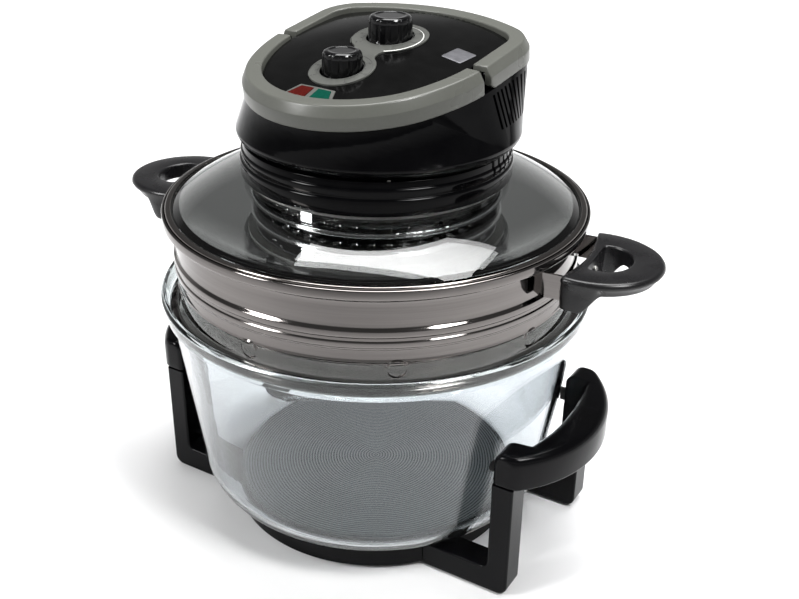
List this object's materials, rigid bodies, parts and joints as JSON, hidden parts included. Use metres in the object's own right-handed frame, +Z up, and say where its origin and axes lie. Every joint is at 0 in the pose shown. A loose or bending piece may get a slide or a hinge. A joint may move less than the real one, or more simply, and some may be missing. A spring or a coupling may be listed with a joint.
{
  "type": "halogen oven",
  "caption": "Countertop halogen oven: glass bowl in a moulded stand, steel extender ring, and a glass lid carrying the heater head with two knobs and a swinging safety handle.",
  "frame": {"origin": "on the floor, on the bowl's axis", "axes": "+Z up; +X along the stand's bars, towards the right-hand handle; -Y is the front, where the head slopes down to the indicator lenses"},
  "size_m": [0.4386, 0.3298, 0.393],
  "materials": {
    "stand_plastic": "satin moulded",
    "bowl_glass": "clear heat-proof",
    "lid_glass": "clear heat-proof",
    "ring_steel": "polished stainless sheet",
    "rim_steel": "polished stainless channel",
    "grip_plastic": "heat-proof phenolic, satin",
    "gloss_black": "high gloss",
    "panel_black": "gloss",
    "trim_grey": "warm grey, semi-gloss",
    "dial_grey": "printed plate, satin",
    "knob_black": "gloss",
    "lens_red": "clear red",
    "lens_green": "clear green",
    "zinc_steel": "zinc plated",
    "rubber": "matt",
    "silicone": "matt",
    "reflector": "bright",
    "quartz": "clear quartz",
    "steatite": "unglazed",
    "guard_steel": "bright plated",
    "lamination": "varnished laminations",
    "copper": "enamelled wire",
    "bronze": "sintered",
    "switch_plastic": "moulded"
  },
  "bodies": {
    "stand": {"base_ring": "stand_plastic", "front_left_leg": "stand_plastic", "front_right_leg": "stand_plastic", "rear_left_leg": "stand_plastic", "rear_right_leg": "stand_plastic", "right_stand_handle": "stand_plastic", "left_stand_handle": "stand_plastic", "bowl_pads": "rubber", "feet": "rubber", "leg_screws": "zinc_steel", "handle_screws": "zinc_steel"},
    "bowl": {"glass_bowl": "bowl_glass"},
    "extender": {"extender_ring": "ring_steel", "right_grip_strap": "ring_steel", "left_grip_strap": "ring_steel", "right_grip": "grip_plastic", "left_grip": "grip_plastic", "grip_screws": "zinc_steel"},
    "safety_handle": {"safety_handle": "trim_grey"},
    "switch_plunger": {"switch_plunger": "switch_plastic"},
    "timer_knob": {"timer_knob": "knob_black", "timer_shaft": "zinc_steel"},
    "thermostat_knob": {"thermostat_knob": "knob_black", "thermostat_shaft": "zinc_steel"},
    "fan_rotor": {"motor_shaft": "zinc_steel", "motor_rotor": "lamination", "cooling_fan": "reflector", "convection_fan": "reflector", "fan_nut": "zinc_steel"},
    "lid": {"lid_rim": "rim_steel", "lid_glass": "lid_glass", "glass_clamp_ring": "guard_steel", "collar_gasket": "silicone", "heater_screws": "zinc_steel", "housing_screws": "zinc_steel", "collar": "gloss_black", "housing": "gloss_black", "front_trim": "trim_grey", "hinge_pins": "zinc_steel", "control_panel": "panel_black", "knob_bezel": "dial_grey", "indicator_bezel": "dial_grey", "power_lens": "lens_red", "heat_lens": "lens_green", "neon_lamps": "quartz", "microswitch": "switch_plastic", "cord_gland": "rubber", "timer_body": "switch_plastic", "thermostat_body": "switch_plastic", "heat_shield": "reflector", "halogen_tube": "quartz", "tube_holders": "steatite", "guard_plate": "guard_steel", "guard_rim": "guard_steel", "guard_posts": "guard_steel", "motor_frame": "zinc_steel", "motor_stator": "lamination", "motor_coil": "copper", "shaft_bush": "bronze", "thermal_cutout": "zinc_steel"}
  },
  "joints": [
    {"name": "bowl_lift", "type": "slide", "parent": "stand", "child": "bowl", "axis": [0, 0, 1], "range_m": [0, 0.2]},
    {"name": "extender_lift", "type": "slide", "parent": "bowl", "child": "extender", "axis": [0, 0, 1], "range_m": [0, 0.12]},
    {"name": "lid_lift", "type": "slide", "parent": "extender", "child": "lid", "axis": [0, 0, 1], "range_m": [0, 0.15]},
    {"name": "safety_handle_swing", "type": "hinge", "parent": "lid", "child": "safety_handle", "pos_m": [0.00058, 0.01115, 0.36449], "axis": [0.9986, -0.0523, 0], "range_deg": [0, 90]},
    {"name": "switch_plunger_rise", "type": "slide", "parent": "lid", "child": "switch_plunger", "axis": [-0.0075, -0.1424, 0.9898], "range_m": [0, 0.0016]},
    {"name": "timer_turn", "type": "hinge", "parent": "lid", "child": "timer_knob", "pos_m": [-0.00215, -0.04094, 0.37], "axis": [0, 0, -1], "range_deg": [0, 300]},
    {"name": "thermostat_turn", "type": "hinge", "parent": "lid", "child": "thermostat_knob", "pos_m": [0.00084, 0.01598, 0.383], "axis": [0, 0, -1], "range_deg": [0, 290]},
    {"name": "fan_spin", "type": "hinge", "parent": "lid", "child": "fan_rotor", "pos_m": [0, 0, 0.3], "axis": [0, 0, 1], "continuous": true}
  ],
  "couplings": [
    {"joint": "switch_plunger_rise", "follows": "safety_handle_swing", "m_per_rad": 0.001}
  ]
}
